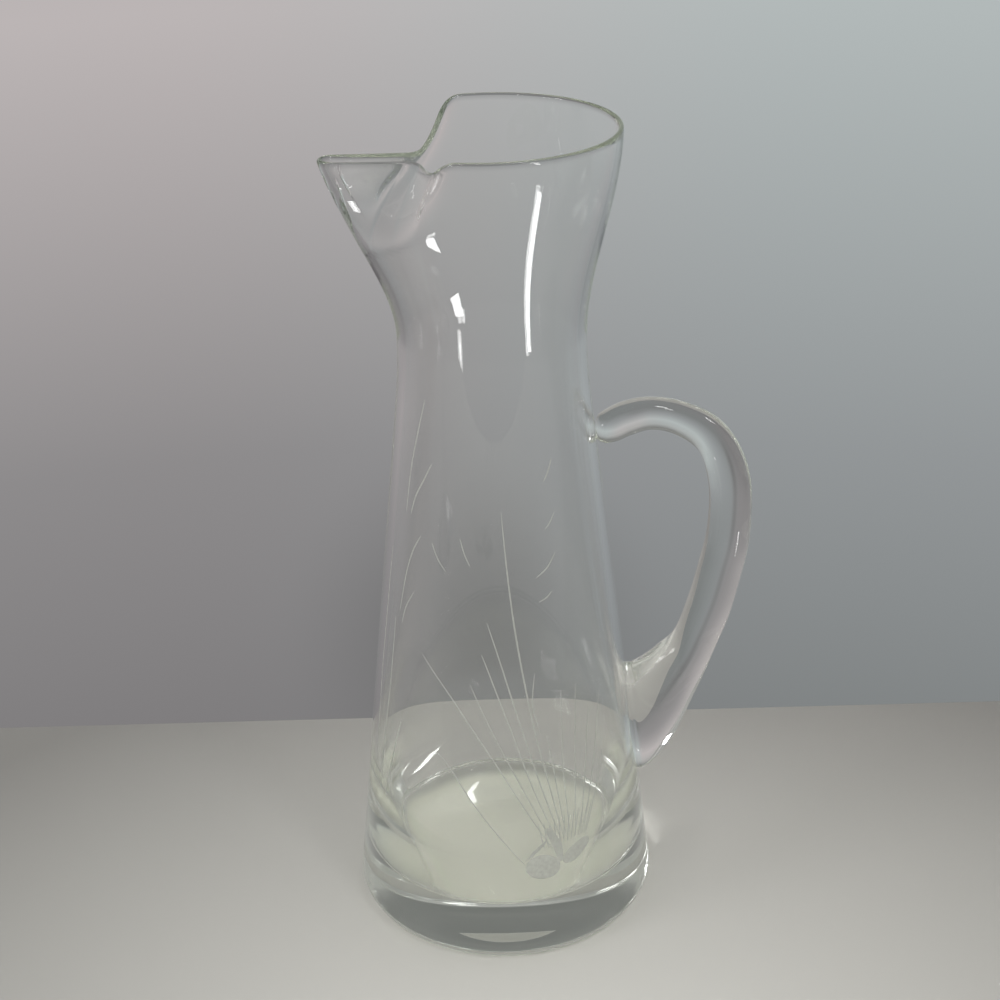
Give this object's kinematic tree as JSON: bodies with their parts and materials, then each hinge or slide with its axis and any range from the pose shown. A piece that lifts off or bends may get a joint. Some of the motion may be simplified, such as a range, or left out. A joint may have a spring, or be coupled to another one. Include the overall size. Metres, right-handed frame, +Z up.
{
  "type": "cocktail pitcher",
  "caption": "Tall clear glass pitcher with a heavy foot, drawn-in waist, pinched pouring beak and an applied solid glass handle, for stirring and pouring mixed drinks",
  "frame": {"origin": "centre of the ring that the foot rests on, on the body's axis", "axes": "+Z up along the body's axis, -X towards the beak, +X towards the handle, the XZ plane is the plane of symmetry"},
  "size_m": [0.1392, 0.1066, 0.28],
  "materials": {
    "body_glass": "clear, faintly grey-green where it is thick, fire polished, with light wheel-cut decoration",
    "handle_glass": "clear solid glass, fire polished"
  },
  "bodies": {
    "root": {"vessel": "body_glass", "handle": "handle_glass"}
  },
  "joints": []
}
